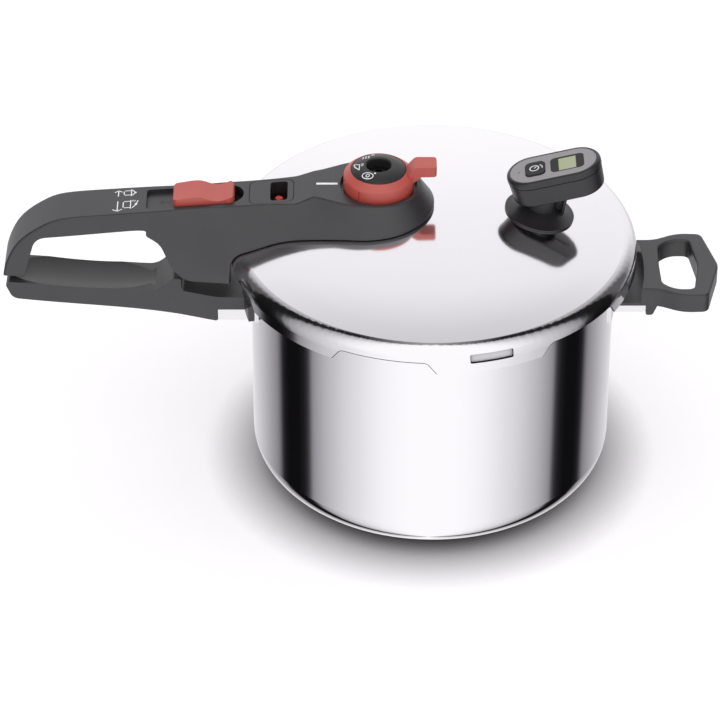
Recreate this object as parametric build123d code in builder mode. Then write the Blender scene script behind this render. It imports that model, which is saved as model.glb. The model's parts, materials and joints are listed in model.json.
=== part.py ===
"""Stovetop pressure cooker, 22 cm, with a bayonet lid, two long handles and a timer.

The frame has its origin at the centre of the pot's underside, +Z up, the long handles
towards -X and the helper handle towards +X. Millimetres.
"""
from build123d import *
from math import asin, atan2, cos, degrees, radians, sin, sqrt, tan
import os

os.makedirs("parts", exist_ok=True)

# ---- driving dimensions -------------------------------------------------------------

sheet = 1.0                     # stainless sheet of the pot and the lid

pot_radius = 111.0              # outside of the pot wall
pot_corner = 19.0               # outside radius between the pot's wall and bottom
disc_radius = 91.0              # heat-spreading disc under the pot
disc_height = 4.5
rim_top = 155.0                 # sealing face of the pot's rolled rim
rim_radius = 115.2
lug_radius = 119.4              # outer edge of the pot's bayonet lugs
lug_low = 151.4                 # lower edge of the lugs' turned-down lips
lug_half_angle = 12.0

bayonet_count = 6
bayonet_pitch = 360 / bayonet_count
first_tab_angle = -74.6         # the tab that carries the safety slot

lid_radius = 124.0
dome_top = 185.5
dome_radius = 367.0
shoulder_radius = 11.0
skirt_low = 149.5               # lower edge of the skirt at the tabs
skirt_high = 157.3              # lower edge of the skirt between the tabs
tab_inner_radius = 115.8
tab_thickness = 1.2
tab_half_angle = 14.5
slot_length = 26.2              # safety slot in the skirt
slot_low, slot_high = 155.7, 161.2

fixed_gap = 0.3                 # plastic to sheet metal, same body
socket_gap = 0.2
moving_gap = 0.35               # between bodies that move

gasket_inner, gasket_outer = 111.8, 122.4
gasket_low, gasket_high = 155.35, 164.3

seat_radius = 11.0              # level seats pressed into the dome for the valves
valve_x = -33.0                 # steam valve and selector
safety_x = -62.0                # spring safety valve under the handle
window_x = -93.0                # pressure indicator and its window
timer_x = 64.3
timer_face_x, timer_face_z = 71.5, 213.3
timer_lean = 14.2               # the timer's face tilts towards the long handle
timer_span = 27.1               # between the centres of the stadium's round ends
timer_radius, face_radius = 15.3, 12.9
timer_depth = 18.0
neck_radius, stub_radius, stub_depth = 9.3, 7.4, 4.0
parting, parting_groove = 4.2, 0.6  # parting line's depth below the face, and its width
battery_place = 13.0
board_depth = 7.2
button_place, window_place = -11.0, 8.6
key_length, key_width = 11.8, 14.2
lens_length, lens_width = 20.5, 15.0
display_length, display_width = 10.8, 13.0

handle_tip_x = -261.0           # end of the long handles
head_top = 200.0                # flat top of the valve head
head_top_radius = 25.5
head_base_radius = 37.4
head_base_z = 182.2
grip_top_start = (-202.0, 186.4)
grip_top_end = (-82.5, 195.47)

button_x = -138.2               # middle of the opening button at rest
button_length, button_width = 36.7, 18.6
button_travel = 8.0
stem_x, stem_length, stem_low = -139.0, 5.6, 175.6
button_recess_x, button_recess_length, button_recess_depth = -143.6, 59.0, 2.6
recess_radius, deep_end = 10.1, 7.0

plaque_x, plaque_length, plaque_width = -97.5, 27.0, 24.6
plaque_thickness, plaque_corner = 2.0, 5.0
window_length, window_width = 10.5, 20.0
mark_x, mark_length, mark_width, mark_depth = -64.1, 12.8, 2.0, 0.3

selector_radius = 21.15
cap_radius, cap_hole = 16.65, 7.35
lever_end, lever_width = 1.8, 12.0
recess_floor = 196.4
crease_radius = 1.6

cover_x, cover_length, cover_width = -135.0, 15.0, 29.0
bridge_low, bridge_sheet, bridge_leg = 166.6, 2.0, 6.0
bridge_end_x, bridge_bend_x, bridge_strap_x = -142.0, -123.0, -106.0
bridge_screw_x, bridge_screw_y = -137.5, 11.0
bolt_tip_x = -120.3             # just short of the pot's lugs
indicator_top = 189.8
bolt_height = 153.3             # middle of the lock bolt's tip

bracket_low, bracket_high = 112.1, 119.6
bracket_sheet = 1.3
pad_top, pad_half_angle = 129.5, 15.5  # the bracket's weld pad on the pot's wall
channel_bend_x = 131.0          # where the bracket's channel narrows and starts to rise
channel_core = 9.0              # its half width inside the handle
long_channel, short_channel = 18.0, 9.8  # half widths of the two channels at the pot
long_channel_end, long_channel_rise = 172.0, 6.0
short_channel_end, short_channel_rise = 137.0, 0.6
handle_screw_x = 121.0          # screws through the brackets into both lower handles
screw_reach = 7.0               # depth of their holes in the plastic
ledge_top = 129.0

helper_low, helper_high = 129.0, 141.0
helper_inner_radius = 129.2     # the loop's edge beside the lid


def dome_height(radius, rise=0.0):
    """Height of the lid's outer surface at a radius from the axis."""
    return dome_top - dome_radius + sqrt((dome_radius + rise) ** 2 - radius**2)


def radial_plane(angle):
    """Upright plane through the pot's axis, its x pointing outwards at the angle."""
    a = radians(angle)
    return Plane(origin=(0, 0, 0), x_dir=(cos(a), sin(a), 0), z_dir=(sin(a), -cos(a), 0))


def facing_plane(angle, distance=0.0):
    """Upright plane that faces outwards at the angle, its x running round the pot."""
    a = radians(angle)
    return Plane(
        origin=(distance * cos(a), distance * sin(a), 0),
        x_dir=(-sin(a), cos(a), 0),
        z_dir=(cos(a), sin(a), 0),
    )


def leaning_plane(x, z, angle):
    """Plane across the row's X-Z plane at (x, z), its x rising towards +X by the angle."""
    a = radians(angle)
    return Plane(origin=(x, 0, z), x_dir=(cos(a), 0, sin(a)), z_dir=(-sin(a), 0, cos(a)))


def finish(piece, name):
    """Label a finished piece and write it."""
    piece.part.label = name
    export_step(piece.part, f"parts/{name}.step")


tab_angles = [first_tab_angle + bayonet_pitch * k for k in range(bayonet_count)]
gap_angles = [angle + bayonet_pitch / 2 for angle in tab_angles]
grip_slope = degrees(atan2(grip_top_end[1] - grip_top_start[1], grip_top_end[0] - grip_top_start[0]))


def grip_plane(x, lift=0.0):
    """Plane on the handle's long straight top face, at a place along X."""
    share = (x - grip_top_start[0]) / (grip_top_end[0] - grip_top_start[0])
    z = grip_top_start[1] + share * (grip_top_end[1] - grip_top_start[1])
    return leaning_plane(x, z, grip_slope).offset(lift)


timer_tilt = degrees(asin(timer_x / dome_radius))  # the timer's foot stands square on the dome
timer_plane = leaning_plane(timer_x, dome_height(timer_x), -timer_tilt)

# ---- pot ----------------------------------------------------------------------------

with BuildPart() as pot_shell:
    with BuildSketch(Plane.XZ):
        with BuildLine():
            FilletPolyline(
                (0, disc_height),
                (pot_radius, disc_height),
                (pot_radius, rim_top - sheet),
                (rim_radius, rim_top - sheet),
                radius=[pot_corner, 2.5],
            )
            offset(amount=sheet, side=Side.LEFT)
        make_face()
    revolve(axis=Axis.Z)
    for angle in tab_angles:  # lugs: a flat step outwards and a turned-down lip
        with BuildSketch(radial_plane(angle - lug_half_angle)):
            with BuildLine():
                Polyline(
                    (rim_radius - 1, rim_top),
                    (lug_radius, rim_top),
                    (lug_radius, lug_low),
                    (lug_radius - sheet, lug_low),
                    (lug_radius - sheet, rim_top - sheet),
                    (rim_radius - 1, rim_top - sheet),
                    close=True,
                )
            make_face()
        revolve(axis=Axis.Z, revolution_arc=2 * lug_half_angle)
finish(pot_shell, "pot_shell")

with BuildPart() as base_disc:
    Cylinder(disc_radius, disc_height, align=(Align.CENTER, Align.CENTER, Align.MIN))
    fillet(base_disc.faces().sort_by(Axis.Z)[0].edges(), 2.2)
finish(base_disc, "base_disc")


def channel_form(side, half_width, end_x, end_rise, grow, low):
    """A bracket's channel as a solid down to a low height, grown all round."""
    wide, narrow = half_width + grow, min(half_width, channel_core) + grow
    near, bend, end = (side * x for x in (pot_radius - 3, channel_bend_x + grow, end_x + grow))
    high = bracket_high + grow
    with BuildPart() as form:
        with BuildSketch(Plane.XZ):
            with BuildLine():
                Polyline(
                    (near, high),
                    (bend, high),
                    (end, high + end_rise),
                    (end, low + 2.5 + end_rise),
                    (bend + side * 4, low + 2.5),
                    (bend, low),
                    (near, low),
                    close=True,
                )
            make_face()
        extrude(amount=wide, both=True)
        with BuildSketch(Plane.XY):
            with BuildLine():
                Polyline(
                    (near, wide),
                    (bend, wide),
                    (bend + side * (wide - narrow), narrow),
                    (end, narrow),
                    (end, -narrow),
                    (bend + side * (wide - narrow), -narrow),
                    (bend, -wide),
                    (near, -wide),
                    close=True,
                )
            make_face()
        extrude(amount=high + end_rise, mode=Mode.INTERSECT)
    return form.part


def handle_bracket(side, half_width, end_x, end_rise):
    """Steel bracket: a curved pad on the pot wall and a channel, open below, for the handle."""
    middle = 180 if side < 0 else 0
    with BuildPart() as bracket:
        add(channel_form(side, half_width, end_x, end_rise, 0, bracket_low))
        add(
            channel_form(side, half_width, end_x, end_rise, -bracket_sheet, bracket_low - 6),
            mode=Mode.SUBTRACT,
        )
        Cylinder(
            pot_radius + bracket_sheet,
            200,
            align=(Align.CENTER, Align.CENTER, Align.MIN),
            mode=Mode.SUBTRACT,
        )
        with BuildSketch(radial_plane(middle - pad_half_angle)):
            with Locations((pot_radius + bracket_sheet / 2, (bracket_high + pad_top - bracket_sheet) / 2)):
                Rectangle(bracket_sheet, pad_top - bracket_high + bracket_sheet)
        revolve(axis=Axis.Z, revolution_arc=2 * pad_half_angle)
        for angle in (middle - pad_half_angle + 2.2, middle + pad_half_angle - 2.2):
            with BuildSketch(facing_plane(angle)):  # pilot hole of the weld
                with Locations((0, pad_top - 3.4)):
                    Circle(1.5)
            extrude(amount=pot_radius + 3, mode=Mode.SUBTRACT)
        with BuildSketch(Plane((side * handle_screw_x, 0, bracket_low))):
            Circle(2.1)
        extrude(amount=10, mode=Mode.SUBTRACT)
    return bracket


long_handle_bracket = handle_bracket(-1, long_channel, long_channel_end, long_channel_rise)
finish(long_handle_bracket, "long_handle_bracket")
short_handle_bracket = handle_bracket(1, short_channel, short_channel_end, short_channel_rise)
finish(short_handle_bracket, "short_handle_bracket")


def plan_form(stations, levels):
    """Solid seen from above: half widths at stations along X, given for each height."""
    with BuildPart() as form:
        for z, half_widths in levels.items():
            near_side = [*zip(stations, half_widths)]
            far_side = [(x, -y) for x, y in reversed(near_side)]
            with BuildSketch(Plane.XY.offset(z)):
                with BuildLine():
                    Spline(*near_side)
                    Line(near_side[-1], far_side[0])
                    Spline(*far_side)
                    Line(far_side[-1], near_side[0])
                make_face()
        loft()
    return form.part


pot_handle_stations = (-270, -215, -165, -146, -134, -118, -104)
pot_handle_widths = {           # height: half widths at those stations
    105: (12.4, 12.4, 12.9, 15.4, 17.4, 18.0, 18.1),
    122: (13.8, 14.2, 14.5, 16.4, 17.8, 18.2, 18.3),
    142: (14.4, 14.6, 15.0, 16.8, 18.0, 18.4, 18.5),
}

dish_start, dish_middle, dish_end = (-261.0, 138.4), (-215.8, 131.6), (-169.0, 131.3)
dish_axis_start, dish_axis_end = (-257.6, 179.6), (-165.6, 172.5)

with BuildPart() as pot_handle:
    with BuildSketch(Plane.XZ):  # side view: grip, hump under the upper handle, ledge at the pot
        with BuildLine():
            FilletPolyline(
                (-106, bracket_high + 0.2),
                (-131, bracket_high + 0.2),
                (-131, 111.0),
                (-156, 114.4),
                (-256, 126.0),
                dish_start,
                dish_end,
                (-158, 140.8),
                (-153, 140.8),
                (-153, 132.4),
                (-131, ledge_top),
                (-106, ledge_top),
                radius=[0, 0.8, 1.5, 60, 6, 2.5, 12, 2.5, 0.8, 2.5, 20, 0],
                close=True,
            )
        make_face()
    extrude(amount=45, both=True)
    add(plan_form(pot_handle_stations, pot_handle_widths), mode=Mode.INTERSECT)
    with BuildSketch(Plane.XZ):  # long shallow dish in the top, deepest half way along
        with BuildLine():
            ThreePointArc(dish_start, dish_middle, dish_end)
            Polyline(dish_end, dish_axis_end, dish_axis_start, dish_start)
        make_face()
    revolve(
        axis=Axis(
            (dish_axis_start[0], 0, dish_axis_start[1]),
            (dish_axis_end[0] - dish_axis_start[0], 0, dish_axis_end[1] - dish_axis_start[1]),
        ),
        mode=Mode.SUBTRACT,
    )
    with BuildSketch(radial_plane(180 - pad_half_angle)):  # wings that cover the bracket's pad
        with BuildLine():
            FilletPolyline(
                (pot_radius - 1, bracket_high + 0.2),
                (pot_radius + 5.2, bracket_high + 0.2),
                (pot_radius + 5.2, ledge_top + 2),
                (pot_radius - 1, ledge_top + 2),
                radius=[0, 0.8, 1.6, 0],
                close=True,
            )
        make_face()
    revolve(axis=Axis.Z, revolution_arc=2 * pad_half_angle)
    Cylinder(
        pot_radius + fixed_gap, 160, align=(Align.CENTER, Align.CENTER, Align.MIN), mode=Mode.SUBTRACT
    )
    with BuildSketch(radial_plane(180 - pad_half_angle - 1)):  # rebate for the pad
        with Locations((pot_radius, (bracket_high + pad_top) / 2)):
            Rectangle(2 * bracket_sheet + 0.3, pad_top - bracket_high + 1)
    revolve(axis=Axis.Z, revolution_arc=2 * pad_half_angle + 2, mode=Mode.SUBTRACT)
    add(
        channel_form(
            -1, long_channel, long_channel_end, long_channel_rise, socket_gap, bracket_low - socket_gap
        ),
        mode=Mode.SUBTRACT,
    )
    with BuildSketch(Plane((-handle_screw_x, 0, bracket_high))):
        Circle(2.0)
    extrude(amount=screw_reach, mode=Mode.SUBTRACT)
finish(pot_handle, "pot_handle")


def pan_screw(plane, head_radius, head_height, shank_radius, length):
    """Pan-head screw: head below the plane, shank rising from it, with a cross recess."""
    with BuildPart() as screw:
        with BuildSketch(plane):
            Circle(head_radius)
        extrude(amount=-head_height)
        rims = screw.edges().filter_by(GeomType.CIRCLE)
        fillet(rims.sort_by(Axis(plane.origin, plane.z_dir))[0], 0.45 * head_height)
        with BuildSketch(plane):
            Circle(shank_radius)
        extrude(amount=length)
        with BuildSketch(plane.offset(-head_height)):
            Rectangle(head_radius * 1.1, head_radius * 0.26)
            Rectangle(head_radius * 0.26, head_radius * 1.1)
        extrude(amount=0.5 * head_height, mode=Mode.SUBTRACT)
    return screw


bracket_seat_z = bracket_high - bracket_sheet - 0.02
pot_handle_screw = pan_screw(Plane((-handle_screw_x, 0, bracket_seat_z)), 3.7, 2.2, 1.95, 7.5)
finish(pot_handle_screw, "pot_handle_screw")

# ---- helper handle ------------------------------------------------------------------

with BuildPart() as short_handle:
    with BuildSketch(Plane.XY.offset(helper_low)):  # flat loop
        with BuildLine():
            FilletPolyline(
                (105, 27),
                (137, 27),
                (151, 34),
                (166.5, 33.3),
                (174.9, 0),
                (166.5, -33.3),
                (151, -34),
                (137, -27),
                (105, -27),
                radius=[0, 22, 26, 5, 14, 5, 26, 22, 0],
                close=True,
            )
        make_face()
    extrude(amount=helper_high - helper_low)
    with BuildSketch(Plane.XZ):  # foot over the bracket, with a hook that hides the channel's end
        with BuildLine():
            FilletPolyline(
                (105, bracket_high + 0.2),
                (131, bracket_high + 0.2),
                (131, 110.7),
                (135.2, 110.7),
                (138.3, 118.5),
                (138.3, 131),
                (105, 131),
                radius=[0, 0.8, 1.2, 2.0, 8, 0, 0],
                close=True,
            )
        make_face()
    extrude(amount=short_channel + 1.4, both=True)
    Cylinder(
        pot_radius + fixed_gap, 160, align=(Align.CENTER, Align.CENTER, Align.MIN), mode=Mode.SUBTRACT
    )
    with BuildSketch(radial_plane(-pad_half_angle - 1)):  # rebate for the pad
        with Locations((pot_radius, (bracket_high + pad_top) / 2)):
            Rectangle(2 * bracket_sheet + 0.3, pad_top - bracket_high + 1)
    revolve(axis=Axis.Z, revolution_arc=2 * pad_half_angle + 2, mode=Mode.SUBTRACT)
    with BuildSketch(Plane.XY.offset(100)):  # finger hole
        with BuildLine():
            FilletPolyline(
                (138.6, 0),
                (139.2, 19),
                (147, 25.6),
                (158.5, 25.2),
                (162.0, 0),
                (158.5, -25.2),
                (147, -25.6),
                (139.2, -19),
                radius=[30, 8, 14, 4, 30, 4, 14, 8],
                close=True,
            )
        make_face()
    extrude(amount=50, mode=Mode.SUBTRACT)
    with BuildSketch(Plane.XY.offset(131)):  # room for the lid's skirt above the ledge
        Circle(helper_inner_radius)
    extrude(amount=20, mode=Mode.SUBTRACT)
    add(
        channel_form(
            1, short_channel, short_channel_end, short_channel_rise, socket_gap, bracket_low - socket_gap
        ),
        mode=Mode.SUBTRACT,
    )
    with BuildSketch(Plane((handle_screw_x, 0, bracket_high))):
        Circle(2.0)
    extrude(amount=screw_reach + 2, mode=Mode.SUBTRACT)
    fillet(
        short_handle.edges().filter_by(lambda e: e.center().Z > helper_high - 0.01).filter_by(
            lambda e: e.center().X > 139
        ),
        1.6,
    )
finish(short_handle, "short_handle")

short_handle_screw = pan_screw(Plane((handle_screw_x, 0, bracket_seat_z)), 3.7, 2.2, 1.95, 9.5)
finish(short_handle_screw, "short_handle_screw")

# ---- lid ----------------------------------------------------------------------------


def lid_form(grow, low, seat_cut=0.0, seat_boss=0.0):
    """The lid's outer form as a solid, grown outwards, down to a low height.

    With seat radii given, the dome has level seats pressed in where the valves pass.
    """
    edge = lid_radius + grow
    with BuildPart() as form:
        with BuildSketch(Plane.XZ):
            with BuildLine():
                Polyline((0, dome_top + grow), (0, low), (edge, low), (edge, dome_height(edge, grow)))
                ThreePointArc(
                    (edge, dome_height(edge, grow)),
                    (edge / 2, dome_height(edge / 2, grow)),
                    (0, dome_top + grow),
                )
            make_face()
        revolve(axis=Axis.Z)
        rims = form.edges().filter_by(GeomType.CIRCLE).filter_by(lambda e: abs(e.radius - edge) < 0.01)
        fillet(rims.sort_by(Axis.Z)[-1], shoulder_radius + grow)
        if seat_cut:
            for x in (valve_x, safety_x, window_x):
                level = Plane((x, 0, dome_height(abs(x)) + grow))
                with BuildSketch(level):
                    Circle(seat_cut)
                extrude(amount=10, mode=Mode.SUBTRACT)
                with BuildSketch(level):
                    Circle(seat_boss)
                extrude(amount=-8)
    return form.part


with BuildPart() as lid_shell:
    add(lid_form(0, skirt_low, seat_radius, seat_radius))
    add(lid_form(-sheet, skirt_low - 1, seat_radius + sheet, seat_radius - sheet), mode=Mode.SUBTRACT)
    for angle in tab_angles:  # bayonet tabs folded inwards
        with BuildSketch(radial_plane(angle - tab_half_angle)):
            with Locations(((tab_inner_radius + lid_radius - 0.5) / 2, skirt_low + tab_thickness / 2)):
                Rectangle(lid_radius - 0.5 - tab_inner_radius, tab_thickness)
        revolve(axis=Axis.Z, revolution_arc=2 * tab_half_angle)
    for angle in gap_angles:  # skirt trimmed higher between the tabs, with sloping ends
        with BuildSketch(facing_plane(angle, 100)):
            with BuildLine():
                FilletPolyline(
                    (-32.6, skirt_low - 1),
                    (-26.2, skirt_high),
                    (26.2, skirt_high),
                    (32.6, skirt_low - 1),
                    radius=[0, 5, 5, 0],
                    close=True,
                )
            make_face()
        extrude(amount=30, mode=Mode.SUBTRACT)
    with BuildSketch(facing_plane(first_tab_angle, 100)):  # safety slot
        with Locations((0, (slot_low + slot_high) / 2)):
            RectangleRounded(slot_length, slot_high - slot_low, 0.9)
    extrude(amount=30, mode=Mode.SUBTRACT)
    with BuildSketch(facing_plane(180, 100)):  # window for the lock bolt
        with Locations((0, bolt_height)):
            Rectangle(11.4, 3.6)
    extrude(amount=30, mode=Mode.SUBTRACT)
    for x, hole_radius in ((valve_x, 5.6), (safety_x, 4.6), (window_x, 5.0)):
        with BuildSketch(Plane((x, 0, dome_top))):
            Circle(hole_radius)
        extrude(amount=-25, mode=Mode.SUBTRACT)
    with BuildSketch(timer_plane):
        Circle(2.3)
    extrude(amount=8, both=True, mode=Mode.SUBTRACT)
finish(lid_shell, "lid_shell")

with BuildPart() as lid_gasket:  # C-section, open towards the steam
    with BuildSketch(Plane.XZ):
        with BuildLine():
            FilletPolyline(
                (gasket_inner, gasket_low),
                (gasket_outer, gasket_low),
                (gasket_outer, gasket_high),
                (gasket_inner + 1.5, gasket_high),
                (gasket_inner + 1.5, gasket_high - 2.0),
                (gasket_outer - 3.6, gasket_high - 2.0),
                (gasket_outer - 3.6, gasket_low + 2.0),
                (gasket_inner, gasket_low + 2.0),
                radius=[0.5, 0.5, 8.2, 0.5, 0.5, 1.6, 1.6, 0.5],
                close=True,
            )
        make_face()
    revolve(axis=Axis.Z)
finish(lid_gasket, "lid_gasket")

# ---- upper handle -------------------------------------------------------------------

head_lean = (head_base_radius - head_top_radius) / (head_top - head_base_z)
plan_stations = (-266, -215, -165, -140, -118, -92, -70, -50)
plan_levels = {                 # height: half widths of the handle's sides at those stations
    140: (14.2, 15.4, 16.2, 19.2, 21.8, 36.0, 49.0, 55.0),
    170: (15.0, 15.8, 16.4, 20.0, 26.0, 27.4, 35.2, 41.0),
    202: (14.2, 13.4, 12.3, 7.4, 4.5, 9.8, 13.2, 22.3),
}

with BuildPart() as upper_plan:  # the handle seen from above, its sides leaning in as they rise
    for z, half_widths in plan_levels.items():
        head = head_top_radius + (head_top - z) * head_lean
        near_side = [*zip(plan_stations, half_widths), (valve_x, head)]
        far_side = [(x, -y) for x, y in reversed(near_side)]
        with BuildSketch(Plane.XY.offset(z)):
            with BuildLine():
                Spline(*near_side, tangents=[(1, 0.02), (1, 0)])
                ThreePointArc((valve_x, head), (valve_x + head, 0), (valve_x, -head))
                Spline(*far_side, tangents=[(-1, 0), (-1, 0.02)])
                Line(far_side[-1], near_side[0])
            make_face()
    loft()

def bridge_form(grow):
    """Strap on the dome with two legs that run into the handle, grown all round."""
    top = bridge_low + bridge_sheet + grow
    with BuildPart() as form:
        with BuildSketch(Plane.XZ):
            with BuildLine():
                Polyline(
                    (bridge_end_x - grow, bridge_low - grow),
                    (bridge_end_x - grow, top),
                    (bridge_bend_x, top),
                    (bridge_strap_x + grow, top + 3.5),
                    (bridge_strap_x + grow, 160),
                    (bridge_bend_x + 4.0, 160),
                    (bridge_bend_x - 1.2, bridge_low - grow),
                    close=True,
                )
            make_face()
        extrude(amount=bridge_screw_y + bridge_leg / 2 + grow, both=True)
        with BuildSketch(Plane((bridge_bend_x - 9, 0, 160))):  # gap between the legs
            Rectangle(24.4, 2 * bridge_screw_y - bridge_leg - 2 * grow)
        extrude(amount=20, mode=Mode.SUBTRACT)
    return form.part


with BuildPart() as lid_handle_shell:
    with BuildSketch(Plane.XZ):  # side view: curved tip, long straight top, valve head, finger loop
        with BuildLine():
            Spline(
                (handle_tip_x, 142.4),
                (-257.2, 156.0),
                (-250, 167.9),
                (-237, 178.3),
                grip_top_start,
                tangents=[(0.12, 1), (1, tan(radians(grip_slope)))],
            )
            FilletPolyline(
                grip_top_start,
                grip_top_end,
                (-72, head_top),
                (8, head_top),
                (8, 141.1),
                (-145, 141.1),
                radius=[10, 6, 0, 0],
            )
            Spline(
                (-145, 141.1),
                (-151.5, 142.9),
                (-156.8, 148.0),
                (-160.1, 154.2),
                (-162.5, 160.6),
                (-166.9, 168.0),
                (-173.1, 172.9),
                (-184, 175.9),
                tangents=[(-1, 0), (-1, -0.098)],
            )
            FilletPolyline((-184, 175.9), (-240.3, 170.4), (-248.3, 142.6), radius=[9])
            Line((-248.3, 142.6), (handle_tip_x, 142.4))
        make_face()
    extrude(amount=60, both=True)
    add(upper_plan.part, mode=Mode.INTERSECT)
    add(lid_form(fixed_gap, 130), mode=Mode.SUBTRACT)
    top_faces = lid_handle_shell.faces().filter_by(lambda f: f.normal_at().Z > 0.4)
    fillet(top_faces.edges().filter_by(GeomType.LINE, reverse=True), crease_radius)

    with BuildSketch(Plane((valve_x, 0, recess_floor))):  # round recess for the selector
        Circle(selector_radius + 2.1)
    extrude(amount=10, mode=Mode.SUBTRACT)
    with BuildSketch(Plane((mark_x, 0, head_top))):  # groove of the white index mark
        Rectangle(mark_length + 0.1, mark_width + 0.1)
    extrude(amount=-mark_depth, mode=Mode.SUBTRACT)
    with BuildSketch(Plane((valve_x, 0, recess_floor))):  # bore for the valve body
        Circle(12.2)
    extrude(amount=-20, mode=Mode.SUBTRACT)
    with BuildSketch(Plane((safety_x, 0, head_top - 4.6))):  # blind pocket over the safety valve
        Circle(12.2)
    extrude(amount=-24, mode=Mode.SUBTRACT)
    with BuildSketch(Plane((window_x, 0, 186))):  # chamber of the pressure indicator
        Circle(12.2)
    extrude(amount=-16, mode=Mode.SUBTRACT)
    with BuildSketch(grip_plane(window_x, 5)):
        RectangleRounded(window_length + 0.6, window_width + 0.6, 2.5)
    extrude(amount=-20, mode=Mode.SUBTRACT)
    with BuildSketch(grip_plane(plaque_x, 5)):  # seat of the plaque
        RectangleRounded(plaque_length + 0.2, plaque_width + 0.2, plaque_corner)
    extrude(amount=-5 - plaque_thickness, mode=Mode.SUBTRACT)
    with BuildSketch(grip_plane(button_recess_x, 5)):  # recess in which the button slides
        with Locations((-recess_radius / 2, 0)):
            RectangleRounded(button_recess_length - recess_radius, 2 * recess_radius, 2.0)
        with Locations((button_recess_length / 2 - recess_radius, 0)):
            Circle(recess_radius)
    extrude(amount=-5 - button_recess_depth, mode=Mode.SUBTRACT)
    with BuildSketch(grip_plane(button_recess_x, 0)):  # its deep round end
        with Locations((button_recess_length / 2 - recess_radius, 0)):
            Circle(recess_radius)
    extrude(amount=-deep_end, mode=Mode.SUBTRACT)
    with BuildSketch(Plane((stem_x - button_travel / 2, 0, 200))):  # slot for the button's stem
        RectangleRounded(button_travel + stem_length + 1.0, 8.0, 0.8)
    extrude(amount=-30, mode=Mode.SUBTRACT)
    with BuildSketch(Plane.XZ):  # chamber of the lock bolt, open below and towards the pot
        with BuildLine():
            Polyline(
                (-154, 181),
                (-129, 181),
                (-129, bolt_height + 2.2),
                (-119, bolt_height + 2.2),
                (-119, bolt_height - 2.2),
                (-129, bolt_height - 2.2),
                (-129, 140),
                (-143, 140),
                (-143, 150),
                (-154, 150),
                close=True,
            )
        make_face()
    extrude(amount=6.2, both=True, mode=Mode.SUBTRACT)
    with BuildSketch(Plane((cover_x, 0, 140))):  # seat of the cover plate
        RectangleRounded(cover_length + 0.2, cover_width + 0.2, 2.5)
    extrude(amount=4.1, mode=Mode.SUBTRACT)
    add(bridge_form(0.2), mode=Mode.SUBTRACT)
    for side in (-1, 1):
        with BuildSketch(Plane((bridge_screw_x, side * bridge_screw_y, 140))):
            Circle(1.9)
        extrude(amount=30, mode=Mode.SUBTRACT)
finish(lid_handle_shell, "lid_handle_shell")

with BuildPart() as lid_handle_cover:  # closes the bolt chamber from below
    with BuildSketch(Plane((cover_x, 0, 141.3))):
        RectangleRounded(cover_length, cover_width, 2.4)
    extrude(amount=2.7)
    for side in (-1, 1):
        with BuildSketch(Plane((bridge_screw_x, side * bridge_screw_y, 141.3))):
            Circle(1.9)
        extrude(amount=3, mode=Mode.SUBTRACT)
        with BuildSketch(Plane((bridge_screw_x, side * bridge_screw_y, 141.3))):
            Circle(3.3)
        extrude(amount=1.7, mode=Mode.SUBTRACT)
finish(lid_handle_cover, "lid_handle_cover")

with BuildPart() as lid_handle_bridge:
    add(bridge_form(0))
    add(lid_form(0.02, 130), mode=Mode.SUBTRACT)
    for side in (-1, 1):
        with BuildSketch(Plane((bridge_screw_x, side * bridge_screw_y, 160))):
            Circle(1.5)
        extrude(amount=20, mode=Mode.SUBTRACT)
finish(lid_handle_bridge, "lid_handle_bridge")

with BuildPart() as lid_handle_screws:
    for side in (-1, 1):
        seat = Plane((bridge_screw_x, side * bridge_screw_y, 143.0))
        add(pan_screw(seat, 3.1, 1.6, 1.45, 27.0).part)
finish(lid_handle_screws, "lid_handle_screws")

with BuildPart() as window_plaque:  # bare plaque round the window of the pressure indicator
    with BuildSketch(grip_plane(plaque_x, -plaque_thickness + 0.05)):
        RectangleRounded(plaque_length, plaque_width, plaque_corner)
        with Locations((window_x - plaque_x, 0)):
            RectangleRounded(window_length, window_width, 2.2, mode=Mode.SUBTRACT)
    extrude(amount=plaque_thickness)
    chamfer(window_plaque.faces().sort_by(Axis.Z)[-1].outer_wire().edges(), 0.35)
finish(window_plaque, "window_plaque")

with BuildPart() as index_mark:  # white inlay that the lever's setting is read against
    with BuildSketch(Plane((mark_x, 0, head_top - mark_depth))):
        Rectangle(mark_length, mark_width)
    extrude(amount=mark_depth)
finish(index_mark, "index_mark")

# ---- steam valve and selector -------------------------------------------------------

valve_seat_z = dome_height(abs(valve_x))
hub_radius = 8.55

with BuildPart() as valve_body:  # steam pipe: flange on the lid, head that carries the selector
    with BuildSketch(Plane.XZ):
        with BuildLine():
            Polyline(
                (valve_x + 1.8, valve_seat_z - 9.5),
                (valve_x + 5.4, valve_seat_z - 9.5),
                (valve_x + 5.4, valve_seat_z + 0.3),
                (valve_x + 9.6, valve_seat_z + 0.3),
                (valve_x + 9.6, 199.9),
                (valve_x + hub_radius, 199.9),
                (valve_x + hub_radius, 203.5),
                (valve_x + 7.7, 203.5),
                (valve_x + 7.7, 204.4),
                (valve_x + hub_radius, 204.4),
                (valve_x + hub_radius, 205.4),
                (valve_x + 3.6, 205.4),
                (valve_x + 1.8, 203.6),
                close=True,
            )
        make_face()
    revolve(axis=Axis((valve_x, 0, 0), (0, 0, 1)))
finish(valve_body, "valve_body")

with BuildPart() as valve_seal:  # silicone washer between the pipe's flange and the lid
    with BuildSketch(Plane((valve_x, 0, valve_seat_z))):
        Circle(9.2)
        Circle(5.45, mode=Mode.SUBTRACT)
    extrude(amount=0.3)
finish(valve_seal, "valve_seal")


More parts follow.
